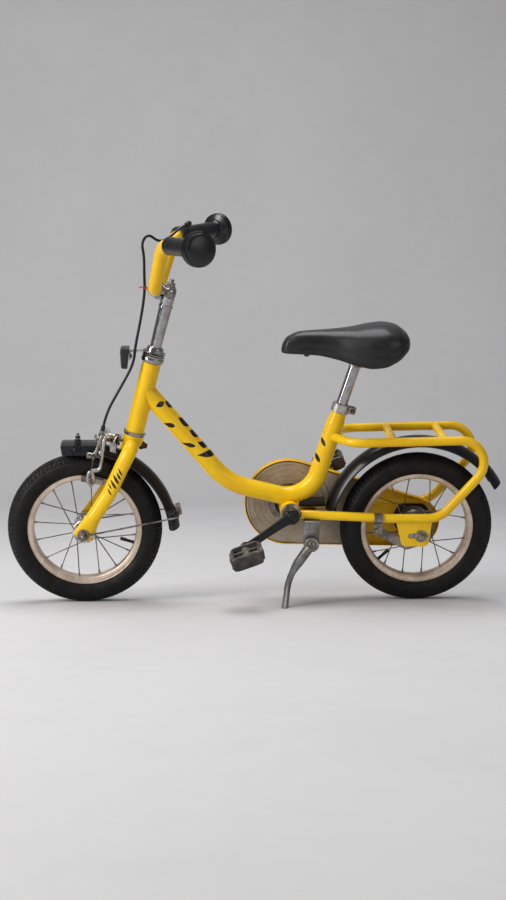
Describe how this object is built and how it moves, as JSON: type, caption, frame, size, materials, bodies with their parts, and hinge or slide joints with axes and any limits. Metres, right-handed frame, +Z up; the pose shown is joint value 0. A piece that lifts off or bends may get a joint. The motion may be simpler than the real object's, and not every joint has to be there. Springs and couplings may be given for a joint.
{
  "type": "children's bicycle",
  "caption": "Small step-through bicycle for a young child, leaning on its side stand, with mudguards, a rear rack, a chain case and a front rim brake.",
  "frame": {"origin": "on the floor, below the centre of the leaning bicycle's bounding box", "axes": "-X is forward, -Y is the rider's left, towards which it leans on its stand, and +Z is up"},
  "size_m": [0.9622, 0.5034, 0.7688],
  "materials": {
    "yellow_paint": "gloss",
    "chrome": "polished",
    "zinc_steel": "satin",
    "alloy": "satin",
    "black_enamel": "gloss",
    "black_plastic": "satin",
    "grey_plastic": "worn",
    "yellow_plastic": "gloss",
    "saddle_cover": "smooth",
    "tyre": "matte",
    "grip_rubber": "matte",
    "pad_rubber": "matte",
    "cable_cover": "gloss"
  },
  "bodies": {
    "frame": {"head_tube": "yellow_paint", "headset_cups": "chrome", "main_tube": "yellow_paint", "bottom_bracket_shell": "yellow_paint", "bottom_bracket_cups": "zinc_steel", "rear_loop_left": "yellow_paint", "rear_loop_right": "yellow_paint", "rack_cross_tubes": "yellow_paint", "dropouts": "yellow_paint", "seat_clamp": "chrome", "seat_post": "chrome", "saddle": "saddle_cover", "rear_mudguard": "black_enamel", "mudguard_strut": "zinc_steel", "chaincase_cover": "yellow_plastic", "chaincase_back": "grey_plastic", "rear_axle": "zinc_steel", "rear_axle_nuts": "chrome", "brake_arm": "zinc_steel", "brake_arm_clamp": "zinc_steel", "stand_bracket": "zinc_steel", "stand_pivot_bolt": "zinc_steel", "mudguard_clips": "zinc_steel"},
    "steering": {"fork": "yellow_paint", "headset_locknut": "chrome", "front_axle": "zinc_steel", "front_axle_nuts": "chrome", "stem": "chrome", "handlebar": "yellow_paint", "grips": "grip_rubber", "brake_lever": "black_plastic", "front_brake_bolt": "zinc_steel", "caliper_arms": "zinc_steel", "brake_pads": "pad_rubber", "brake_cable": "cable_cover", "cable_stop": "zinc_steel", "reflector": "black_plastic", "reflector_bracket": "zinc_steel", "mudguard_stays": "zinc_steel", "mudguard_bolt": "zinc_steel", "front_mudguard": "black_enamel", "front_guard_flap": "black_plastic", "front_guard_nose": "black_plastic"},
    "front_wheel": {"front_tyre": "tyre", "front_rim": "alloy", "front_hub": "alloy", "front_spokes": "zinc_steel", "front_valve": "alloy"},
    "rear_wheel": {"rear_tyre": "tyre", "rear_rim": "alloy", "rear_hub": "alloy", "rear_spokes": "zinc_steel", "rear_valve": "alloy"},
    "cranks": {"crank_axle": "zinc_steel", "crank_left": "black_enamel", "crank_right": "black_enamel", "pedal_spindles": "zinc_steel"},
    "pedal_left": {"pedal_left": "black_plastic"},
    "pedal_right": {"pedal_right": "black_plastic"},
    "side_stand": {"side_stand_leg": "alloy"}
  },
  "joints": [
    {"name": "steering", "type": "hinge", "parent": "frame", "child": "steering", "pos_m": [-0.2326, 0.06453, 0.33719], "axis": [0.2419, -0.2001, 0.9494], "range_deg": [-60, 60]},
    {"name": "front_wheel_spin", "type": "hinge", "parent": "steering", "child": "front_wheel", "pos_m": [-0.3311, 0.10453, 0.14736], "axis": [0, 0.9785, 0.2062], "continuous": true},
    {"name": "rear_wheel_spin", "type": "hinge", "parent": "frame", "child": "rear_wheel", "pos_m": [0.3179, 0.10453, 0.14736], "axis": [0, 0.9785, 0.2062], "continuous": true},
    {"name": "crank_spin", "type": "hinge", "parent": "frame", "child": "cranks", "pos_m": [0.0679, 0.0967, 0.18455], "axis": [0, 0.9785, 0.2062], "continuous": true},
    {"name": "left_pedal_spin", "type": "hinge", "parent": "cranks", "child": "pedal_left", "pos_m": [-0.02036, -0.00753, 0.10446], "axis": [0, 0.9785, 0.2062], "continuous": true},
    {"name": "right_pedal_spin", "type": "hinge", "parent": "cranks", "child": "pedal_right", "pos_m": [0.15616, 0.20973, 0.2665], "axis": [0, 0.9785, 0.2062], "continuous": true},
    {"name": "stand_fold", "type": "hinge", "parent": "frame", "child": "side_stand", "pos_m": [0.1084, 0.06504, 0.11656], "axis": [0, -0.9785, -0.2062], "range_deg": [0, 115]}
  ]
}
